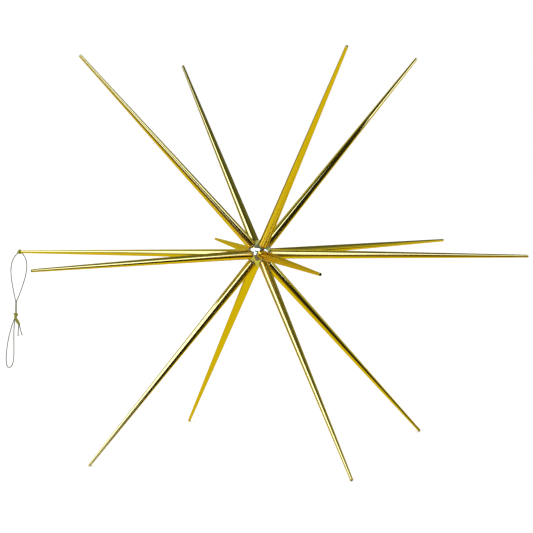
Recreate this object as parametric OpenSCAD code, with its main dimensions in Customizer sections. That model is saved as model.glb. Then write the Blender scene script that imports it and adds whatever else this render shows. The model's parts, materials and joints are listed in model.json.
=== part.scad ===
// Hanging starburst ornament: fourteen hollow tapered spikes on a small split ball.
// Six spikes lie level, four rise and four fall; the four falling ones are also its feet.
// The origin is the centre of the ball, +Z is up, and -Y is the front.
// A cord is wound round the tip of the left spike and ends in a hanging loop.

/* [Star] */
// Distance between the tips of two opposite spikes
span = 400; // [300:10:600]
// Angle between the vertical and a rising or falling spike
lean = 43.4; // [41:0.1:47]

/* [Spikes] */
// Diameter of a spike where it meets its stud
spike_base_d = 7.2; // [6.4:0.1:7.6]
// Diameter of a spike at its tip
spike_tip_d = 2.14; // [1.8:0.02:2.6]
// Diameter of the open hole in the tip
tip_hole_d = 1.3; // [0.8:0.1:1.4]
// Length of the straight hole in the tip
tip_hole_length = 5; // [2:0.5:10]
// Diameter of the straight socket in the base of a spike
spike_socket_d = 5; // [4:0.1:5.2]

/* [Studs] */
// Distance from the centre of the ball to the joint between a stud and its spike
stud_top = 11; // [10.8:0.1:12]
// Radius of the rounded shoulder that faces the ball
shoulder_r = 1; // [0.5:0.1:1.2]
// Length of the plug inside the spike
plug_length = 5; // [3:0.5:8]
// Diameter of the peg inside the ball
peg_d = 2.4; // [2:0.1:2.6]
// Length of the peg
peg_length = 4; // [3:0.1:4.2]

/* [Ball] */
// Diameter of the ball
ball_d = 19.2; // [19:0.1:20]
// Depth of the flat seat under each stud and rivet head
seat_depth = 0.35; // [0.3:0.05:0.4]
// Diameter of the rivet that holds the halves together
rivet_d = 3; // [2.4:0.1:3.2]
// Diameter of the rivet's heads
rivet_head_d = 4.8; // [4:0.1:5]
// Height of the rivet's heads
rivet_head_h = 1; // [0.6:0.1:1.4]

/* [Cord] */
// Thickness of the cord
cord_d = 0.8; // [0.6:0.05:1]
// Turns of cord round the tip
coil_turns = 4; // [3:1:5]
// Thickness of the twisted pair above the knot
twist_d = 1.5; // [1.2:0.1:1.7]
// Diameter of the main knot
knot_d = 3.6; // [3.2:0.1:4]
// Drop from the tip to the middle of the main knot
knot_drop = 49.5; // [44:0.5:60]
// Diameter of the knot that stops the two ends
end_knot_d = 2.6; // [2.2:0.1:3]
// Drop from the tip to the bottom of the hanging loop
loop_drop = 92; // [88:1:110]

/* [Hidden] */
$fn = 96;
EPS = 0.01;
GLUE_GAP = 0.02; // on each face of a glued joint
TURN_GAP = 0.05; // between the cord's coil and the spike it turns on
SWING_GAP = 0.1; // between the knot and the loop that swings from it
CORD_FN = 8; // facets round the cord's curved strands
CORD_STEPS = 14; // straight lengths in each curved strand

GOLD = [0.86, 0.68, 0.08];
BRASS = [0.80, 0.70, 0.30];
CORD = [0.58, 0.56, 0.34];

reach = span / 2;
ball_r = ball_d / 2;
seat = ball_r - seat_depth; // from the centre to every flat seat on the ball
spike_base_r = spike_base_d / 2;
spike_tip_r = spike_tip_d / 2;
taper = (spike_base_r - spike_tip_r) / (reach - stud_top);
tip_bevel = 0.2;

coil_pitch = 0.9 * cord_d; // so that neighbouring turns bed into each other
coil_length = (coil_turns - 1) * coil_pitch + cord_d;
coil_bore_r = spike_radius(reach - coil_length) + TURN_GAP;
coil_middle = reach - coil_length / 2;
knot_r = knot_d / 2;
knot_x = -3.2; // all cord x and z values are counted from the left spike's tip
twist_top = -40;
knot_at = [knot_x, 0, -knot_drop];
end_knot_at = knot_at + [2.2, -(end_knot_d + cord_d) / 2 - 0.25, -4.7];

// The level spikes, anticlockwise from +X, and the others, anticlockwise from +X and +Y
RING = ["right", "back_right", "back_left", "left", "front_left", "front_right"];
CORNERS = ["back_right", "back_left", "front_left", "front_right"];

// Every spike as its name, its angle from +Z and its turn about Z
SPIKES = [
    for (i = [0 : 5]) [str("mid_", RING[i]), 90, i * 60],
    for (i = [0 : 3]) [str("top_", CORNERS[i]), lean, 45 + i * 90],
    for (i = [0 : 3]) [str("low_", CORNERS[i]), 180 - lean, 45 + i * 90]
];

// A spike's outer radius at a distance from the centre of the ball
function spike_radius(along) = spike_tip_r + (reach - along) * taper;

// The point at share t of a cubic curve
function bezier(p, t) =
    pow(1 - t, 3) * p[0] + 3 * pow(1 - t, 2) * t * p[1] + 3 * (1 - t) * t * t * p[2] + pow(t, 3) * p[3];

// Turns a shape built along +Z to point along one of the spikes
module aim(spike) {
    rotate([0, spike[1], spike[2]]) children();
}

// A hollow taper: a straight socket at the base, a narrowing bore and a small open hole at the tip
module spike() {
    base = stud_top + GLUE_GAP;
    socket_end = stud_top + plug_length + 0.5;
    color(GOLD) rotate_extrude() polygon([
        [spike_socket_d / 2, base],
        [spike_radius(base), base],
        [spike_radius(reach - tip_bevel), reach - tip_bevel],
        [spike_tip_r - tip_bevel, reach],
        [tip_hole_d / 2, reach],
        [tip_hole_d / 2, reach - tip_hole_length],
        [spike_socket_d / 2, socket_end]
    ]);
}

// The stud that joins a spike to the ball: a peg, a head with a rounded shoulder, and a plug
module stud() {
    low = seat + GLUE_GAP;
    head_r = spike_base_r;
    plug_r = spike_socket_d / 2 - GLUE_GAP;
    plug_end = stud_top + plug_length;
    lead = 0.3; // bevel on the ends that are pushed in
    color(GOLD) rotate_extrude() polygon([
        [0, low - peg_length],
        [peg_d / 2 - lead, low - peg_length],
        [peg_d / 2, low - peg_length + lead],
        [peg_d / 2, low],
        for (a = [0 : 15 : 90]) [head_r - shoulder_r * (1 - sin(a)), low + shoulder_r * (1 - cos(a))],
        [head_r, stud_top],
        [plug_r, stud_top],
        [plug_r, plug_end - lead],
        [plug_r - lead, plug_end],
        [0, plug_end]
    ]);
}

// The space that one stud takes out of the ball: the peg's hole and the flat seat
module stud_socket() {
    depth = peg_length + 0.2;
    translate([0, 0, seat - depth]) cylinder(d = peg_d + 2 * GLUE_GAP, h = depth + ball_r);
    translate([0, 0, seat]) cylinder(r = spike_base_r, h = ball_r);
}

// The upper half of the ball, split level through the six level spikes
module half_ball() {
    difference() {
        intersection() {
            sphere(r = ball_r);
            translate([-ball_r, -ball_r, GLUE_GAP]) cube([ball_d, ball_d, seat - GLUE_GAP]);
        }
        for (s = SPIKES) if (s[1] <= 90) aim(s) stud_socket();
        translate([0, 0, -EPS]) cylinder(d = rivet_d + 2 * GLUE_GAP, h = ball_d);
    }
}

module hub_upper() {
    color(GOLD) half_ball();
}

module hub_lower() {
    color(GOLD) mirror([0, 0, 1]) half_ball();
}

// A low dome on the ball's upper pole
module rivet_head() {
    dome_r = (pow(rivet_head_d / 2, 2) + pow(rivet_head_h, 2)) / (2 * rivet_head_h);
    base = seat + GLUE_GAP;
    intersection() {
        translate([0, 0, base + rivet_head_h - dome_r]) sphere(r = dome_r);
        translate([0, 0, base]) cylinder(d = rivet_head_d + 1, h = rivet_head_h + 1);
    }
}

// The rivet through both halves, with a dome at each pole
module hub_rivet() {
    color(BRASS) {
        cylinder(d = rivet_d, h = 2 * (seat + 2 * GLUE_GAP), center = true);
        rivet_head();
        mirror([0, 0, 1]) rivet_head();
    }
}

// Puts a shape drawn from the left spike's tip in its place
module at_left_tip() {
    translate([-reach, 0, 0]) children();
}

// The close turns of cord round the tip
module hanger_tip_coil() {
    color(CORD) for (i = [0 : coil_turns - 1])
        translate([-reach + cord_d / 2 + i * coil_pitch, 0, 0]) rotate([0, 90, 0])
            rotate_extrude() translate([coil_bore_r + cord_d / 2, 0]) circle(d = cord_d);
}

// One curved length of cord along a cubic curve
module strand(p) {
    for (i = [0 : CORD_STEPS - 1]) hull() {
        translate(bezier(p, i / CORD_STEPS)) sphere(d = cord_d, $fn = CORD_FN);
        translate(bezier(p, (i + 1) / CORD_STEPS)) sphere(d = cord_d, $fn = CORD_FN);
    }
}

// The teardrop below the tip and the twisted pair that runs into the main knot
module hanger_upper_loop() {
    twist_at = [knot_x + 0.3, 0, twist_top];
    color(CORD) at_left_tip() difference() {
        union() {
            strand([[-0.9, 0, -1.6], [-8.6, 0, -8], [-8, 0, -18], twist_at]);
            strand([[4.2, 0, -2], [10.4, 0, -8], [7, 0, -20], twist_at]);
            hull() {
                translate(twist_at) sphere(d = twist_d, $fn = CORD_FN);
                translate(knot_at) sphere(d = twist_d, $fn = CORD_FN);
            }
        }
        translate(knot_at) sphere(d = knot_d + 2 * GLUE_GAP, $fn = 32);
    }
}

// A straight round bar between two points
module bar(from, to, d) {
    way = to - from;
    translate(from) rotate([0, acos(way[2] / norm(way)), atan2(way[1], way[0])])
        cylinder(d = d, h = norm(way));
}

// The main knot, the stop knot in front of it, and the two cut ends
module hanger_knot() {
    neck = knot_at + [0.3, end_knot_at[1] * 0.62, -0.9];
    color(CORD) at_left_tip() {
        translate(knot_at) sphere(d = knot_d);
        bar(neck, end_knot_at, 2 * cord_d);
        translate(end_knot_at) sphere(d = end_knot_d);
        bar(end_knot_at, end_knot_at + [0.2, 0, -12], cord_d);
        bar(end_knot_at, end_knot_at + [3.7, 0, -11.2], cord_d);
    }
}

// The loop that hangs from the main knot, open in the XZ plane
module hanger_lower_loop() {
    bottom = [-10.7, 0, -loop_drop + cord_d / 2];
    color(CORD) at_left_tip() difference() {
        union() {
            strand([knot_at, [-11, 0, -63], [-16, 0, bottom[2]], bottom]);
            strand([knot_at, [-8.4, 0, -63], [-2.4, 0, bottom[2]], bottom]);
        }
        translate(knot_at) sphere(d = knot_d + 2 * SWING_GAP, $fn = 32);
    }
}

hub_upper();
hub_lower();
hub_rivet();
for (s = SPIKES) {
    aim(s) spike();
    aim(s) stud();
}
hanger_tip_coil();
hanger_upper_loop();
hanger_knot();
hanger_lower_loop();
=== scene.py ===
import json
import math

import bpy
import numpy as np
from mathutils import Matrix, Vector


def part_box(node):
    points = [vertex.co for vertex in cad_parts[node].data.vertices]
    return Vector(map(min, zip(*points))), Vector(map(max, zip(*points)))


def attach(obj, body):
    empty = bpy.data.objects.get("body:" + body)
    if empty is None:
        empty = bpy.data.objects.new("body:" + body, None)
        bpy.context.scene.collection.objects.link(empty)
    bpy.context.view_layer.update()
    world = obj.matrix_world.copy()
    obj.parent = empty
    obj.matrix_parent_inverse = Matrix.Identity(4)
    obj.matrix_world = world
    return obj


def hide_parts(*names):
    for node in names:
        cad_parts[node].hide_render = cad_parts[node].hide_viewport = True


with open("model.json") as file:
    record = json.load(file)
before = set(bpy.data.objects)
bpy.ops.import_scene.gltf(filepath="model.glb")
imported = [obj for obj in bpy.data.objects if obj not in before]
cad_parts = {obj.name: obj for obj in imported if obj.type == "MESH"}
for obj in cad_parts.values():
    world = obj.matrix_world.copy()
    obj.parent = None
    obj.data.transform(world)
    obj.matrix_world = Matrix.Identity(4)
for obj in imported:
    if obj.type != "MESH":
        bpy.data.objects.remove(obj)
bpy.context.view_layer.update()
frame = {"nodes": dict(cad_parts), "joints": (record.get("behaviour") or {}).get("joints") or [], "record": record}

MM = 0.001

# ---------------------------------------------------------------- places taken from the frame

JOINT_AT = {j["name"]: Vector(j["pos_m"]) for j in frame["joints"]}
STAR_NODES = frame["record"]["behaviour"]["bodies"]["star"]
SPIKES = sorted(n for n in STAR_NODES if n.endswith("_spike"))
STUDS = sorted(n for n in STAR_NODES if n.endswith("_stud"))
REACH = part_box("mid_right_spike")[1].x
FLOOR_Z = min(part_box(n)[0].z for n in SPIKES)
TIP = Vector((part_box("mid_left_spike")[0].x, 0, 0))
COIL_LOW, COIL_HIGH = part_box("hanger_tip_coil")
KNOT_AT = np.array(JOINT_AT["lower_cord_swing"])
LOOP_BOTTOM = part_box("hanger_lower_loop")[0].z


# ---------------------------------------------------------------- node helpers

def new_material(name):
    """An empty node material and its Principled shader."""
    mat = bpy.data.materials.new(name)
    mat.use_nodes = True
    return mat, mat.node_tree.nodes["Principled BSDF"]


def add_node(tree, kind, **settings):
    """A node with some of its properties and inputs set. Inputs are given by name with in_ before it."""
    node = tree.nodes.new(kind)
    for key, value in settings.items():
        if key.startswith("in_"):
            node.inputs[key[3:].replace("_", " ")].default_value = value
        else:
            setattr(node, key, value)
    return node


def maths(tree, operation, a, b):
    """The output of a Math node. a and b are sockets or numbers."""
    node = add_node(tree, "ShaderNodeMath", operation=operation)
    for slot, value in zip(node.inputs, (a, b)):
        if isinstance(value, (int, float)):
            slot.default_value = value
        else:
            tree.links.new(value, slot)
    return node.outputs[0]


def between(tree, factor, a, b):
    """a where factor is 0, b where it is 1. a and b are sockets or numbers."""
    return maths(tree, "ADD", maths(tree, "MULTIPLY", maths(tree, "SUBTRACT", b, a), factor), a)


def remap(tree, value, low, high, to_low, to_high):
    """value mapped from low..high to to_low..to_high, held at the ends."""
    node = add_node(tree, "ShaderNodeMapRange",
                    in_From_Min=low, in_From_Max=high, in_To_Min=to_low, in_To_Max=to_high)
    tree.links.new(value, node.inputs["Value"])
    return node.outputs["Result"]


def ramp(tree, factor, stops):
    """A colour ramp: stops are (position, colour)."""
    node = tree.nodes.new("ShaderNodeValToRGB")
    node.color_ramp.elements[0].position, node.color_ramp.elements[0].color = stops[0]
    node.color_ramp.elements[1].position, node.color_ramp.elements[1].color = stops[-1]
    for position, colour in stops[1:-1]:
        node.color_ramp.elements.new(position).color = colour
    tree.links.new(factor, node.inputs[0])
    return node.outputs["Color"]


def noise(tree, vector, scale, detail, roughness=0.5):
    """The value of a noise texture."""
    node = add_node(tree, "ShaderNodeTexNoise", in_Scale=scale, in_Detail=detail, in_Roughness=roughness)
    tree.links.new(vector, node.inputs["Vector"])
    return node.outputs["Fac"]


def bump(tree, shader, height, distance, strength):
    """Sends a height through a Bump node into a shader's normal."""
    node = add_node(tree, "ShaderNodeBump", in_Strength=strength, in_Distance=distance)
    tree.links.new(height, node.inputs["Height"])
    tree.links.new(node.outputs["Normal"], shader.inputs["Normal"])


# ---------------------------------------------------------------- materials

EDGE_TINT = (0.84, 0.68, 0.25, 1)  # the lacquer keeps its colour in glancing reflections
LACQUER_IOR = 3.0  # far above a real lacquer's, so that highlights turn from gold to cream
LACQUER_ROUGHNESS = 0.03
LACQUER_AT_EDGE = 0.12  # the share of its reflection that is left where the surface turns away
PAINTED_SHADE_REACH = 1.5 * MM  # surfaces nearer to each other than this get painted shade: their colour and lacquer are darkened
DEEPEST_PAINTED_SHADE = 0.04  # what the painted shade leaves of the colour and the lacquer deep in a hollow
TINT_SCALE = 35.0  # noise scales are per metre
HAZE_SCALE = 90.0
WAVE_SCALE = 45.0
WAVE_HEIGHT = 0.25 * MM
WAVE_STRENGTH = 0.12
FLECK_SCALE = 3500.0
PATCH_SCALE = 300.0
PATCH_SHARE = 0.3  # of the patches in the thread's colour, the rest is flecks
FLECK_HEIGHT = 0.06 * MM
FLECK_STRENGTH = 0.6
THREAD_METALLIC = 0.85


def mirror_gold(name, low, high, rough=0.05, waves=1.0, metal=1.0):
    """Vacuum-metallised plastic under yellow lacquer: mirror gold with faint waves, haze and tint changes, and
    painted shade that darkens its colour and lacquer in bores and creases.
    """
    mat, shader = new_material(name)
    tree = mat.node_tree
    place = add_node(tree, "ShaderNodeTexCoord").outputs["Object"]
    tint = noise(tree, place, TINT_SCALE, 4.0)
    # painted shade: ambient occlusion darkens the colour and the lacquer in the spikes' bores and in the creases
    # between parts
    hollow = add_node(tree, "ShaderNodeAmbientOcclusion", samples=6, in_Distance=PAINTED_SHADE_REACH).outputs["AO"]
    painted_shade_factor = remap(tree, hollow, 0.15, 0.65, DEEPEST_PAINTED_SHADE, 1.0)
    painted_shade_colour = add_node(tree, "ShaderNodeVectorMath", operation="SCALE")
    tree.links.new(ramp(tree, tint, [(0.3, low), (0.7, high)]), painted_shade_colour.inputs[0])
    tree.links.new(painted_shade_factor, painted_shade_colour.inputs["Scale"])
    tree.links.new(painted_shade_colour.outputs["Vector"], shader.inputs["Base Color"])
    haze = noise(tree, place, HAZE_SCALE, 3.0)
    tree.links.new(remap(tree, haze, 0.3, 0.8, rough * 0.8, rough * 1.5), shader.inputs["Roughness"])
    shader.inputs["Metallic"].default_value = metal
    shader.inputs["Specular Tint"].default_value = EDGE_TINT
    facing = add_node(tree, "ShaderNodeLayerWeight", in_Blend=0.5).outputs["Facing"]
    lacquer = remap(tree, facing, 0.55, 0.80, 1.0, LACQUER_AT_EDGE)
    tree.links.new(maths(tree, "MULTIPLY", lacquer, painted_shade_factor), shader.inputs["Coat Weight"])
    shader.inputs["Coat Roughness"].default_value = LACQUER_ROUGHNESS
    shader.inputs["Coat IOR"].default_value = LACQUER_IOR
    bump(tree, shader, noise(tree, place, WAVE_SCALE, 0.0), WAVE_HEIGHT, WAVE_STRENGTH * waves)
    return mat


def metallic_thread(name, dark, middle, bright):
    """Twisted metallic thread: film wound on a core, with small bright and dark flecks."""
    mat, shader = new_material(name)
    tree = mat.node_tree
    place = add_node(tree, "ShaderNodeTexCoord").outputs["Object"]
    flecks = noise(tree, place, FLECK_SCALE, 3.0, 0.7)
    patches = noise(tree, place, PATCH_SCALE, 2.0)
    mixed = between(tree, PATCH_SHARE, flecks, patches)
    colour = ramp(tree, mixed, [(0.34, dark), (0.50, middle), (0.66, bright)])
    tree.links.new(colour, shader.inputs["Base Color"])
    tree.links.new(remap(tree, flecks, 0.3, 0.7, 0.45, 0.22), shader.inputs["Roughness"])
    shader.inputs["Metallic"].default_value = THREAD_METALLIC
    bump(tree, shader, flecks, FLECK_HEIGHT, FLECK_STRENGTH)
    return mat


GOLD_LOW, GOLD_HIGH = (0.91, 0.550, 0.003, 1), (0.97, 0.610, 0.006, 1)
BALL_LOW, BALL_HIGH = (0.62, 0.60, 0.50, 1), (0.68, 0.66, 0.57, 1)
BRASS_LOW, BRASS_HIGH = (0.80, 0.78, 0.50, 1), (0.88, 0.86, 0.60, 1)
spike_gold = mirror_gold("mirror_gold_spike", GOLD_LOW, GOLD_HIGH)
stud_gold = mirror_gold("mirror_gold_stud", GOLD_LOW, GOLD_HIGH, rough=0.07)
ball_gold = mirror_gold("mirror_gold_ball", BALL_LOW, BALL_HIGH, waves=0.6, metal=0.85)
rivet_brass = mirror_gold("rivet_brass", BRASS_LOW, BRASS_HIGH, rough=0.10, metal=0.6)
thread_olive = metallic_thread(
    "thread_olive", dark=(0.06, 0.06, 0.045, 1), middle=(0.17, 0.17, 0.13, 1), bright=(0.38, 0.38, 0.32, 1))
# painted shade: a darker copy of the cord's colour for the tightly twisted pair, where the strands shade each
# other
thread_moss_painted_shade = metallic_thread(
    "thread_moss_painted_shade", dark=(0.035, 0.035, 0.008, 1), middle=(0.12, 0.12, 0.02, 1), bright=(0.28, 0.27, 0.07, 1))
# a yellower copy of the cord's colour for the coil and the knots: the yellow is the tight thread's own tone, the
# brighter cream stop is a painted highlight
thread_gold_painted_highlight = metallic_thread(
    "thread_gold_painted_highlight", dark=(0.18, 0.16, 0.01, 1), middle=(0.56, 0.52, 0.06, 1), bright=(0.95, 0.92, 0.50, 1))


def finish_node(name, material):
    """Gives a CAD node its material."""
    materials = frame["nodes"][name].data.materials
    materials.clear()
    materials.append(material)


for name in SPIKES:
    finish_node(name, spike_gold)
for name in STUDS:
    finish_node(name, stud_gold)
for name in ("hub_upper", "hub_lower"):
    finish_node(name, ball_gold)
finish_node("hub_rivet", rivet_brass)


# ---------------------------------------------------------------- cord geometry

CORD_R = 0.40 * MM
TIGHT_R = 0.34 * MM  # where the cord is pulled tight
PLIES = 3
PLY_SIDES = 8
PLY_PITCH = 2.2 * MM  # one full turn of the plies
RING_STEP = 0.22 * MM  # spacing of the rings along the cord
FLARE_LENGTH = 1.6 * MM  # how far the plies open at a cut end
PLY_SHARE = 0.54  # a ply's radius as a share of its cord's
DOME_SHARE = 0.6  # the height of a ply's domed end as a share of its radius
EASE_ROUNDS = 2  # smoothing of every cord's path
SAME_POINT = 0.001 * MM  # path ends nearer than this are one point
CURVE_POINTS = 60
POINTS_PER_TURN = 40
SIDE_HINT = (0.3, 0.9, 0.2)  # a direction that no cord starts along


def bezier(*points):
    """Points along a cubic curve."""
    p = [np.array(v, float) for v in points]
    t = np.linspace(0, 1, CURVE_POINTS)[:, None]
    return (1 - t) ** 3 * p[0] + 3 * (1 - t) ** 2 * t * p[1] + 3 * (1 - t) * t ** 2 * p[2] + t ** 3 * p[3]


def chain(*paths):
    """Paths joined end to end, without the doubled points."""
    joined = [paths[0]]
    for path in paths[1:]:
        doubled = np.linalg.norm(path[0] - joined[-1][-1]) < SAME_POINT
        joined.append(path[1:] if doubled else path)
    return np.vstack(joined)


def resample(path, step):
    """The path at an even spacing, and the distance of each point from its start."""
    lengths = np.concatenate([[0], np.cumsum(np.linalg.norm(np.diff(path, axis=0), axis=1))])
    count = max(4, int(round(lengths[-1] / step)))
    at = np.linspace(0, lengths[-1], count + 1)
    return np.stack([np.interp(at, lengths, path[:, k]) for k in range(3)], axis=1), at


def smooth(path, rounds):
    """The path with its corners eased, its ends kept."""
    for _ in range(rounds):
        path[1:-1] = 0.25 * path[:-2] + 0.5 * path[1:-1] + 0.25 * path[2:]
    return path


def frames_along(path):
    """Unit tangents, and two side vectors that don't twist, at each point."""
    tangents = np.gradient(path, axis=0)
    tangents /= np.linalg.norm(tangents, axis=1)[:, None]
    side = np.cross(tangents[0], SIDE_HINT)
    sides = []
    for t in tangents:
        side = side - (side @ t) * t
        side /= np.linalg.norm(side)
        sides.append(side)
    sides = np.array(sides)
    return tangents, sides, np.cross(tangents, sides)


def tube(path, radius, count):
    """Vertices and faces of a round tube with domed ends."""
    tangents, sides, ups = frames_along(path)
    turn = (np.arange(count) * 2 * math.pi / count)[None, :, None]
    ring = np.cos(turn) * sides[:, None, :] + np.sin(turn) * ups[:, None, :]
    verts = (path[:, None, :] + ring * radius).reshape(-1, 3)
    around = [(k, (k + 1) % count) for k in range(count)]
    faces = [(a + k, a + n, a + count + n, a + count + k)
             for a in range(0, (len(path) - 1) * count, count) for k, n in around]
    first, last = len(verts), (len(path) - 1) * count
    faces += [(n, k, first) for k, n in around]
    faces += [(last + k, last + n, first + 1) for k, n in around]
    dome = DOME_SHARE * radius
    return np.vstack([verts, path[0] - tangents[0] * dome, path[-1] + tangents[-1] * dome]), faces


def plied(path, radius=CORD_R, flare=0.0):
    """The plies of one cord along a path. flare spreads them at the path's end."""
    path, at = resample(smooth(np.array(path, float), EASE_ROUNDS), RING_STEP)
    _, sides, ups = frames_along(path)
    ply_r = radius * PLY_SHARE
    near_end = np.clip(1 - (at[-1] - at) / FLARE_LENGTH, 0, 1)[:, None]
    offset = (radius - ply_r) * (1 + flare * near_end ** 2)
    for k in range(PLIES):
        phase = (at / PLY_PITCH + k / PLIES)[:, None] * 2 * math.pi
        yield path + offset * (np.cos(phase) * sides + np.sin(phase) * ups), ply_r


def cord_piece(name, cords, material, body, node=None):
    """One mesh object of several plied cords, which are dicts for plied(). It may stand for a CAD node."""
    verts, faces, base = [], [], 0
    for cord in cords:
        for centre, ply_r in plied(**cord):
            v, f = tube(centre, ply_r, PLY_SIDES)
            verts.append(v)
            faces += [tuple(i + base for i in face) for face in f]
            base += len(v)
    mesh = bpy.data.meshes.new(name)
    mesh.from_pydata(np.vstack(verts).tolist(), [], faces)
    mesh.polygons.foreach_set("use_smooth", [True] * len(mesh.polygons))
    mesh.materials.append(material)
    piece = bpy.data.objects.new(name, mesh)
    bpy.context.scene.collection.objects.link(piece)
    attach(piece, body)
    if node:
        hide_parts(node)


def mm(*values):
    """A vector given in millimetres."""
    return np.array(values, float) * MM


def from_tip(*values):
    """A point given in millimetres from the left spike's tip."""
    return np.array(TIP) + mm(*values)


def from_knot(*values):
    """A point given in millimetres from the middle of the main knot."""
    return KNOT_AT + mm(*values)


def helix(start, end, radius, turns, phase=0.0, bulge=0.0):
    """A coil about the line between two points. bulge makes it wider in the middle."""
    t = np.linspace(0, 1, int(POINTS_PER_TURN * turns) + 2)[:, None]
    axis = (end - start) / np.linalg.norm(end - start)
    side = np.cross(axis, (0, 1, 0))
    side /= np.linalg.norm(side)
    turn = t * turns * 2 * math.pi + phase
    r = radius * (1 + bulge * (np.sin(math.pi * t) - 0.5))
    return start * (1 - t) + end * t + r * (np.cos(turn) * side + np.sin(turn) * np.cross(axis, side))


def trefoil(centre, turn):
    """The shape of a tightened overhand knot, seen from the front. turn rolls it about the front axis."""
    t = np.linspace(0, 2 * math.pi, TREFOIL_POINTS)
    r = TREFOIL_RING + TREFOIL_STRAND * np.cos(3 * t)
    depth = TREFOIL_DEPTH * TREFOIL_STRAND * np.sin(3 * t)
    points = np.stack([r * np.cos(2 * t), depth, r * np.sin(2 * t)], axis=1)
    return points @ np.array(Matrix.Rotation(turn, 3, "Y")).T + centre


# ---------------------------------------------------------------- the hanger, piece by piece

CAD_CORD = 0.8 * MM  # the thickness of the cord in the CAD's coil
TURN_PITCH = 1.9 * TIGHT_R  # the coil's turns bed into each other
UNEVEN = 0.05 * MM  # how far the coil's turns stray along the tip
UNEVEN_WAVES = 11  # how often they do so, in radians from end to end
PAIR_TOP = from_tip(-2.9, 0, -40)
PAIR_R = 0.30 * MM
PAIR_TURNS = 4
LEG_STEP = 0.4 * MM
LEG_ROUNDS = 12  # smoothing where a leg of the upper loop leaves the coil
TREFOIL_RING = 0.62 * MM
TREFOIL_STRAND = 0.36 * MM
TREFOIL_DEPTH = 2.0  # front to back, as a multiple of TREFOIL_STRAND
TREFOIL_POINTS = 160
WRAP_R = 0.92 * MM  # the turns of the main knot
WRAP_TURNS = 4
BARREL_R = 0.80 * MM  # the turns of the stop knot
BARREL_TURNS = 7
STOP_TOP = from_knot(0.6, -1.7, -2.9)
STOP_END = from_knot(3.5, -1.95, -7.6)
CUT_FLARE = 0.9


def coil_piece():
    """The close turns round the tip."""
    turns = (COIL_HIGH.x - COIL_LOW.x) / TURN_PITCH
    coil_r = (COIL_HIGH.z - CAD_CORD) + TIGHT_R  # the CAD coil's bore, and half of the cord
    start, end = (np.array((x, 0, 0)) for x in (COIL_LOW.x + TIGHT_R, COIL_HIGH.x - TIGHT_R))
    path = helix(start, end, coil_r, turns - 1, phase=math.pi / 2)
    stray = np.sin(np.linspace(0, UNEVEN_WAVES, len(path)))[:, None] * np.array((UNEVEN, 0, 0))
    coil = {"path": path + stray, "radius": TIGHT_R}
    cord_piece("cord_coil", [coil], thread_gold_painted_highlight, "tip_coil", "hanger_tip_coil")


def upper_loop_pieces():
    """The teardrop below the tip, and the twisted pair that runs into the main knot."""
    left_top, right_top = from_tip(-0.9, 0, -1.6), from_tip(4.2, 0, -2.15)
    left_stub = bezier(from_tip(0.7, -1.65, 0.2), from_tip(0.5, -1.65, -0.9),
                       from_tip(-0.3, -0.8, -1.3), left_top)
    left = bezier(left_top, from_tip(-8.6, 0, -8), from_tip(-8, 0, -18), PAIR_TOP)
    right_stub = bezier(from_tip(2.5, 1.65, 0.2), from_tip(2.7, 1.75, -1.2),
                        from_tip(3.5, 1.3, -2.1), right_top)
    right = bezier(right_top, from_tip(10.4, 0, -8), from_tip(7, 0, -20), PAIR_TOP)
    legs = [{"path": smooth(resample(chain(*paths), LEG_STEP)[0], LEG_ROUNDS)}
            for paths in ((left_stub, left), (right_stub, right))]
    cord_piece("cord_upper_loop", legs, thread_olive, "upper_cord", "hanger_upper_loop")
    start, end = PAIR_TOP + mm(0, 0, 1), from_knot(0, 0, 1)
    pair = [{"path": helix(start, end, PAIR_R, PAIR_TURNS, phase)} for phase in (0, math.pi)]
    # the twisted pair's darker thread is painted shade
    cord_piece("cord_twisted_pair", pair, thread_moss_painted_shade, "upper_cord")


def main_knot():
    """The cords of the main knot: a wound ball, a trefoil and a strand on it, and the neck's trefoil."""
    ball = helix(from_knot(-0.5, 0, 1.35), from_knot(0.5, 0, -1.35), WRAP_R, WRAP_TURNS, bulge=0.9)
    across = bezier(from_knot(-1.5, -0.3, 0.9), from_knot(-1.2, -2.4, 0.9),
                    from_knot(1.0, -2.4, -1.0), from_knot(1.3, -0.5, -1.2))
    neck = trefoil(from_knot(0.1, -1.5, -2.0), 0.9)
    return [{"path": path} for path in (ball, trefoil(KNOT_AT, 1.5), across, neck)]


def stop_knot():
    """The cords of the stop knot, below and in front of the main knot: a barrel wound on two strands."""
    barrel = {"path": helix(STOP_TOP, STOP_END, BARREL_R, BARREL_TURNS, bulge=0.4)}
    core = [{"path": bezier(from_knot(side, -0.5, -0.6), from_knot(side, -0.8, -1.4),
                            STOP_TOP + mm(side, 0, 0.4), STOP_END + mm(side, 0, 0.5)), "radius": TIGHT_R}
            for side in (-0.25, 0.25)]
    return [barrel] + core


def cut_ends():
    """The two cut ends that hang from the stop knot."""
    left_end, right_end = from_knot(2.4, -1.95, -16.7), from_knot(5.9, -1.95, -15.9)
    left = bezier(STOP_END + mm(-0.2, 0, 0.8), STOP_END + mm(-0.5, 0, -3),
                  left_end + mm(-0.1, 0, 4), left_end)
    right = bezier(STOP_END + mm(0.2, 0, 0.8), STOP_END + mm(0.5, 0, -2),
                   right_end + mm(-1.4, 0, 4), right_end)
    return [{"path": path, "flare": CUT_FLARE} for path in (left, right)]


def knot_pieces():
    """The two knots, and the cut ends below them."""
    # the knots' brighter thread carries a painted highlight
    cord_piece("cord_knots", main_knot() + stop_knot(), thread_gold_painted_highlight, "upper_cord", "hanger_knot")
    cord_piece("cord_cut_ends", cut_ends(), thread_olive, "upper_cord")


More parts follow.
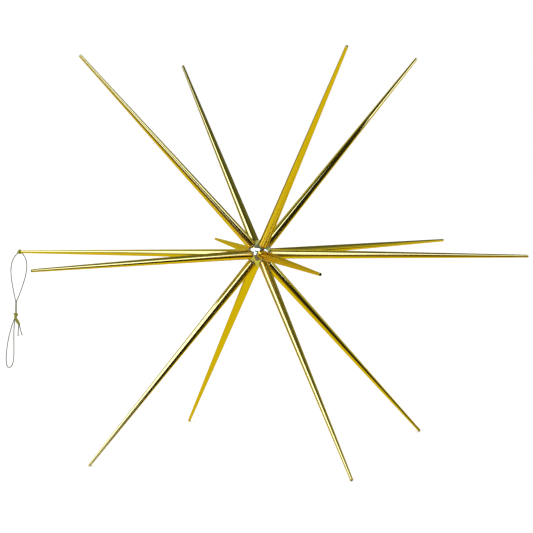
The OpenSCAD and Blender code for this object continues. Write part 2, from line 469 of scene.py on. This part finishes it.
def hanging_loop_piece():
    """The long loop that hangs from the main knot."""
    drop = LOOP_BOTTOM / MM + CORD_R / MM
    start, bottom = from_knot(0, 0, -0.9), from_tip(-10.7, 0, drop)
    left = bezier(start, from_tip(-11, 0, -63), from_tip(-16, 0, drop), bottom)
    right = bezier(bottom, from_tip(-2.4, 0, drop), from_tip(-8.4, 0, -63), start)
    loop = {"path": chain(left, right)}
    cord_piece("cord_hanging_loop", [loop], thread_olive, "lower_cord", "hanger_lower_loop")


coil_piece()
upper_loop_pieces()
knot_pieces()
hanging_loop_piece()


# ---------------------------------------------------------------- camera

CAMERA_AZIMUTH = math.radians(19.15)  # turned from the front, -Y, towards +X
CAMERA_ELEVATION = math.radians(3.93)
CAMERA_ROLL = math.radians(-0.86)
CAMERA_DISTANCE = 6.06 * REACH
LENS = 110.2
SENSOR = 36.0
SHIFT = (0.0132, -0.0238)


def towards(azimuth, elevation):
    """The unit vector from the object to a place at this azimuth and elevation, in radians."""
    level = math.cos(elevation)
    return Vector((math.sin(azimuth) * level, -math.cos(azimuth) * level, math.sin(elevation)))


def add_camera():
    """The main view: almost level with the ball, a little to the right of the front."""
    data = bpy.data.cameras.new("camera")
    data.lens, data.sensor_width = LENS, SENSOR
    data.shift_x, data.shift_y = SHIFT
    data.clip_start, data.clip_end = 0.01, 100
    camera = bpy.data.objects.new("camera", data)
    back = towards(CAMERA_AZIMUTH, CAMERA_ELEVATION)
    camera.location = back * CAMERA_DISTANCE
    camera.rotation_mode = "QUATERNION"
    facing = (-back).to_track_quat("-Z", "Y")
    camera.rotation_quaternion = facing @ Matrix.Rotation(CAMERA_ROLL, 3, "Z").to_quaternion()
    bpy.context.scene.collection.objects.link(camera)
    bpy.context.scene.camera = camera


# ---------------------------------------------------------------- floor, room and studio panels

WHITE = 1.20  # the room's light on the white floor, which then shows as white
SWEEP = 0.55  # the lit backdrop behind the object, seen in reflections
FLOOR_GLOW = 0.66  # the floor, seen in reflections
FLOOR_TINT = (1.0, 0.96, 0.012, 1)
ROOM_TINT = (0.88, 1.00, 0.25, 1)
DARK_ROOM = 0.03  # the unlit side, where the camera stands
WALL_BLEND = 0.3  # half of the change from sweep to dark side, as the cosine of the angle to the camera
HORIZON_LOW, HORIZON_HIGH = -0.15, 0.25  # the change from floor to walls, as the sine of the elevation
FLOOR_GREYS = (0.95, 0.96)
FLOOR_HALF = 40 * REACH
SQUARE = ((-1, -1), (1, -1), (1, 1), (-1, 1))


def stage_plane(name, corners, material):
    """A flat stage object, which isn't part of the ornament."""
    mesh = bpy.data.meshes.new(name)
    mesh.from_pydata(corners, [], [(0, 1, 2, 3)])
    mesh.materials.append(material)
    plane = bpy.data.objects.new(name, mesh)
    bpy.context.scene.collection.objects.link(plane)
    return plane


def add_floor():
    """A plain white floor under the four lower tips. Reflections see the room's own floor glow instead."""
    mat, shader = new_material("floor_white")
    tree = mat.node_tree
    place = add_node(tree, "ShaderNodeTexCoord").outputs["Object"]
    grain = noise(tree, place, 8.0, 4.0)
    dark, light = ((grey, grey, grey, 1) for grey in FLOOR_GREYS)
    tree.links.new(ramp(tree, grain, [(0.3, dark), (0.7, light)]), shader.inputs["Base Color"])
    shader.inputs["Roughness"].default_value = 0.9
    shader.inputs["Specular IOR Level"].default_value = 0.0
    corners = [(x * FLOOR_HALF, y * FLOOR_HALF, FLOOR_Z) for x, y in SQUARE]
    stage_plane("floor", corners, mat).visible_glossy = False


def add_room():
    """A white room. Reflections see a lit sweep behind, a brighter yellow floor and a dark camera side."""
    world = bpy.data.worlds.new("studio")
    bpy.context.scene.world = world
    world.use_nodes = True
    tree = world.node_tree
    direction = add_node(tree, "ShaderNodeTexCoord").outputs["Generated"]
    facing = add_node(tree, "ShaderNodeVectorMath", operation="DOT_PRODUCT")
    facing.inputs[1].default_value = towards(CAMERA_AZIMUTH, 0)
    tree.links.new(direction, facing.inputs[0])
    height = add_node(tree, "ShaderNodeSeparateXYZ")
    tree.links.new(direction, height.inputs[0])
    camera_side = remap(tree, facing.outputs["Value"], -WALL_BLEND, WALL_BLEND, 0, 1)
    walls = between(tree, camera_side, SWEEP, DARK_ROOM)
    above = remap(tree, height.outputs["Z"], HORIZON_LOW, HORIZON_HIGH, 0, 1)
    seen = between(tree, above, FLOOR_GLOW, walls)
    rays = add_node(tree, "ShaderNodeLightPath").outputs
    lit = between(tree, rays["Is Camera Ray"], WHITE, 1.0)
    strength = between(tree, rays["Is Glossy Ray"], lit, seen)
    background = tree.nodes["Background"]
    hue = add_node(tree, "ShaderNodeMix", data_type="RGBA")
    hue.inputs["A"].default_value = (1, 1, 1, 1)
    tree.links.new(rays["Is Glossy Ray"], hue.inputs["Factor"])
    tree.links.new(ramp(tree, above, [(0.0, FLOOR_TINT), (1.0, ROOM_TINT)]), hue.inputs["B"])
    tree.links.new(hue.outputs["Result"], background.inputs["Color"])
    tree.links.new(strength, background.inputs["Strength"])


def add_panel(name, azimuth, elevation, distance, width, height, roll, radiance):
    """A flat studio panel, bright or dark, that only reflections see. Angles in degrees."""
    mat, shader = new_material(name)
    shader.inputs["Base Color"].default_value = (0, 0, 0, 1)
    shader.inputs["Specular IOR Level"].default_value = 0.0
    strength, colour = radiance
    shader.inputs["Emission Color"].default_value = colour + (1,)
    shader.inputs["Emission Strength"].default_value = strength
    back = towards(CAMERA_AZIMUTH + math.radians(azimuth), math.radians(elevation))
    turned = back.to_track_quat("Z", "Y") @ Matrix.Rotation(math.radians(roll), 3, "Z").to_quaternion()
    corners = [back * distance + turned @ Vector((x * width / 2, y * height / 2, 0)) for x, y in SQUARE]
    panel = stage_plane(name, corners, mat)
    panel.visible_camera = False
    panel.visible_diffuse = False
    panel.visible_shadow = False
    panel.visible_transmission = False


# What each kind of panel shows: its strength and its colour.
SOFTBOX = (2.4, (0.75, 1.00, 1.30))
BLACK_CLOTH = (0.02, (0.85, 1.0, 0.6))
WARM_CLOTH = (0.14, (1.0, 0.74, 0.10))
OLIVE_CLOTH = (0.08, (0.81, 1.0, 0.30))
SIDE_CLOTH = (0.13, (0.78, 1.0, 0.35))
GREEN_CLOTH = (0.25, (0.86, 1.0, 0.65))

# azimuth from the camera's, elevation from level, distance, width, height, roll and what it shows;
# angles in degrees, lengths in metres
PANELS = {
    "softbox_key": (-71, 36, 1.0, 0.80, 0.55, 3, SOFTBOX),
    "softbox_left": (-38, 8, 0.9, 0.30, 0.42, -18, SOFTBOX),
    "softbox_top": (-18, 42, 1.27, 0.80, 0.50, -9, SOFTBOX),
    "softbox_low_right": (18, -12, 1.27, 0.70, 0.28, 7, SOFTBOX),
    "softbox_right": (65, 21, 0.87, 0.36, 0.48, 42, SOFTBOX),
    "cloth_right": (53, -13, 2.0, 2.2, 3.4, 35, BLACK_CLOTH),
    "cloth_below": (-12, -24, 2.01, 2.6, 2.5, 14, WARM_CLOTH),
    "cloth_above": (45, 89, 2.02, 3.9, 1.1, -10, OLIVE_CLOTH),
    "cloth_over_right": (127, 57, 0.66, 0.65, 0.75, 0, SIDE_CLOTH),
    "cloth_behind_right": (154, 26, 0.90, 0.60, 0.60, 0, SIDE_CLOTH),
    "cloth_back_left": (-120, 18, 2.03, 1.7, 1.9, -38, GREEN_CLOTH),
}

add_floor()
add_room()
add_camera()
for name, panel in PANELS.items():
    add_panel(name, *panel)
bpy.context.scene.view_settings.view_transform = "Standard"
